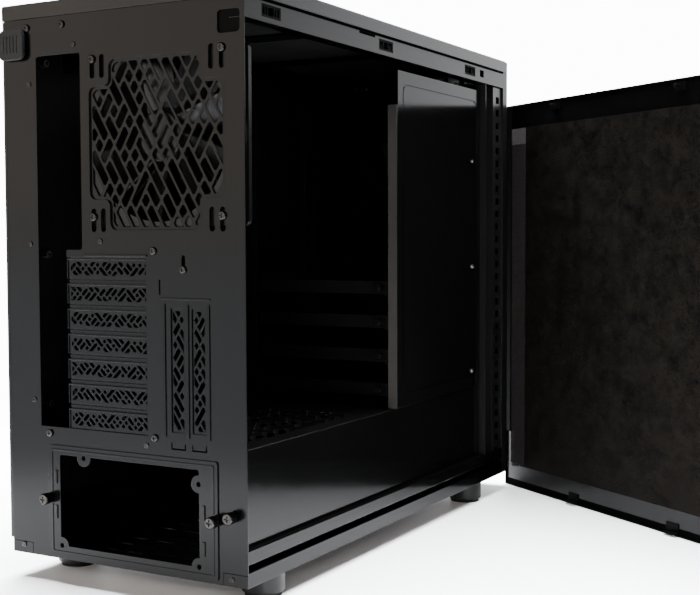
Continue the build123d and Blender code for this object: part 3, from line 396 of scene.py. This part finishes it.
def cover_screws():
    """Three screws along the front of the drive cover."""
    plate = box_mm("drive_cover_plate")[0]
    pitch = 110.5
    for i in range(3):
        centre = (plate.x - 0.6, plate.y + 21.0, plate.z + 18.0 + pitch * i)
        bm = bmesh.new()
        disc(bm, centre, (1, 0, 0), 2.4, 1.6)
        piece(f"drive_cover_screw_{i + 1}", bm, BRIGHT_SCREW, "chassis", 0.4)


def mirrored(side, near, far):
    """Limits across the tower, for side 1, or on its other side, for side -1."""
    return sorted((side * near, side * far))


def notch_backs():
    """Folded rail ends that close the two upper corner notches from behind."""
    low, high = box_mm("top_rail_right")
    through = (high.y - 1.2, high.y - 0.4)
    upright = (low.z - 11.0, low.z + 7.4)
    for side, name in ((-1, "left"), (1, "right")):
        bm = bmesh.new()
        block(bm, mirrored(side, low.x - 10.5, high.x - 3.3), through, upright)
        # the rail ends wear the darker painted-shade coat
        piece(f"rail_end_{name}", bm, PAINTED_SHADE_STEEL, "chassis")


def set_down():
    """How the left panel is moved from its seat: swung out on its hinge, then down to the floor."""
    swing = next(joint for joint in frame["joints"] if joint["name"] == "left_panel_swing")
    hinge = Matrix.Translation(swing["pos_m"])
    turn = Matrix.Rotation(radians(-swing["range_deg"][0]), 4, "Z")
    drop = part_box("right_panel_skin")[0].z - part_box("left_panel_skin")[0].z
    return Matrix.Translation((0, 0, -drop)) @ hinge @ turn @ hinge.inverted()


def panel_linings():
    """Inside both side panels: a dark strip along the foot that paints the shade under the hem,
    felt tape down the front whose pale tone partly paints a soft reflection, and a pale pad above
    it that paints a highlight.

    The tape and the pad are stuck to the steel and lap over the mat's front edge.
    """
    low, high = box_mm("right_panel_skin")
    mat = box_mm("right_panel_mat")[0]
    steel = high.x - 1.0
    lap_width, lap_thickness = 11.0, 0.3
    front = (low.y + 9.5, mat.y)
    pad_foot = high.z - 44.0
    linings = (("foot_shade_strip", PAINTED_SHADE_RUBBER, 0.6, (low.y + 1.5, high.y - 1.5), (low.z + 1.0, low.z + 7.5)),
               ("front_tape_painted_reflection", TAPE_WITH_PAINTED_REFLECTION, 0.8, front, (low.z + 26.0, pad_foot)),
               ("corner_highlight_pad", PAINTED_HIGHLIGHT_PAD, 1.4, front, (pad_foot, high.z - 26.5)))
    left_move = set_down()
    for side, name in ((-1, "left"), (1, "right")):
        for part, material, thickness, y, z in linings:
            bm = bmesh.new()
            block(bm, mirrored(side, steel, steel - thickness), y, z)
            if y == front:
                block(bm, mirrored(side, mat.x, mat.x - lap_thickness),
                      (mat.y, mat.y + lap_width), z)
            if name == "left":
                bmesh.ops.transform(bm, matrix=left_move, verts=bm.verts)
            piece(f"{name}_panel_{part}", bm, material, f"{name}_panel")


column_edge()
cover_screws()
notch_backs()
panel_linings()

# ---- camera, light and floor -------------------------------------------------------------------
CAMERA_PLACE = (-0.62027, 1.01801, 0.28598)
CAMERA_YAW = radians(28.991)      # turned from the rear towards the open left side
CAMERA_PITCH = radians(2.963)     # looking slightly down
CAMERA_ROLL = radians(-0.170)
CAMERA_LENS = 62.31               # focal length in mm on a 36 mm wide sensor

WHITE = 14.0                      # strength of the surround as the eye sees it
BACKDROP_GLOW = 4.2               # strength of the backdrop as a source of light
ROOM_GLOW = 0.03                  # strength of the dim room behind the camera
BACKDROP_EDGE = (-0.86, -0.7)     # the backdrop fades out over this range of the direction's Y
FLOOR_CENTRE = (-0.12, -0.12, 0.0)
FLOOR_RADIUS = 0.85


def aim_camera():
    """Camera behind the tower's left corner."""
    forward = Vector((sin(CAMERA_YAW) * cos(CAMERA_PITCH), -cos(CAMERA_YAW) * cos(CAMERA_PITCH),
                      -sin(CAMERA_PITCH)))
    side = forward.cross(Vector((0, 0, 1))).normalized()
    up = side.cross(forward)
    right = side * cos(CAMERA_ROLL) + up * sin(CAMERA_ROLL)
    top = up * cos(CAMERA_ROLL) - side * sin(CAMERA_ROLL)
    data = bpy.data.cameras.new("camera")
    data.sensor_width = 36.0
    data.lens = CAMERA_LENS
    data.clip_end = 50.0
    camera = bpy.data.objects.new("camera", data)
    turn = Matrix((right, top, -forward)).transposed()
    camera.matrix_world = Matrix.Translation(CAMERA_PLACE) @ turn.to_4x4()
    bpy.context.scene.collection.objects.link(camera)
    bpy.context.scene.camera = camera


def soft_light(name, position, target, size, power, colour, in_gloss=True):
    """Soft box that looks at target, and that shows in the gloss of what it lights or doesn't."""
    data = bpy.data.lights.new(name, "AREA")
    data.shape = "RECTANGLE"
    data.size, data.size_y = size
    data.energy = power
    data.color = colour
    light = bpy.data.objects.new(name, data)
    light.location = position
    aim = Vector(target) - Vector(position)
    light.rotation_euler = aim.to_track_quat("-Z", "Y").to_euler()
    light.visible_glossy = in_gloss
    bpy.context.scene.collection.objects.link(light)


def surround():
    """White for the eye; for light and gloss it is a pale backdrop ahead and a dim room behind."""
    world = bpy.data.worlds.new("studio")
    bpy.context.scene.world = world
    world.use_nodes = True
    tree = world.node_tree
    room = tree.nodes["Background"]
    room.inputs["Color"].default_value = (0.97, 0.98, 1.0, 1)
    direction = along(tree, tree.nodes.new("ShaderNodeTexCoord").outputs["Generated"])
    backdrop = span(tree, direction["Y"], BACKDROP_GLOW, ROOM_GLOW, *BACKDROP_EDGE)
    seen = tree.nodes.new("ShaderNodeLightPath").outputs["Is Camera Ray"]
    unseen = math_node(tree, "SUBTRACT", 1.0, seen)
    strength = math_node(tree, "ADD", math_node(tree, "MULTIPLY", seen, WHITE),
                         math_node(tree, "MULTIPLY", unseen, backdrop))
    tree.links.new(strength, room.inputs["Strength"])


def soft_boxes():
    """One large box overhead, two that the rear mirrors, and a small one behind the camera."""
    soft_light("top_box", (0.15, -0.65, 2.6), (0.05, 0.0, 0.0), (3.0, 2.4), 2100.0,
               (0.96, 0.98, 1.0), in_gloss=False)
    soft_light("rear_box_high", (1.6, 3.0, 1.0), (0.0, 0.27, 0.3), (2.6, 1.5), 66.0,
               (1.0, 0.89, 0.8))
    soft_light("rear_box_low", (1.6, 3.0, -0.4), (0.0, 0.27, 0.3), (2.6, 1.3), 56.0,
               (0.92, 0.96, 1.0))
    soft_light("room_box", (-1.6, 2.4, 1.0), (-0.1, 0.0, 0.3), (1.2, 1.0), 50.0,
               (1.0, 0.93, 0.87))


def lay_floor():
    bm = bmesh.new()
    bmesh.ops.create_circle(bm, cap_ends=True, radius=FLOOR_RADIUS, segments=128)
    mesh = bpy.data.meshes.new("floor")
    bm.to_mesh(mesh)
    bm.free()
    mesh.materials.append(floor_material("pale_floor"))
    floor = bpy.data.objects.new("floor", mesh)
    floor.location = FLOOR_CENTRE
    bpy.context.scene.collection.objects.link(floor)


aim_camera()
surround()
soft_boxes()
lay_floor()
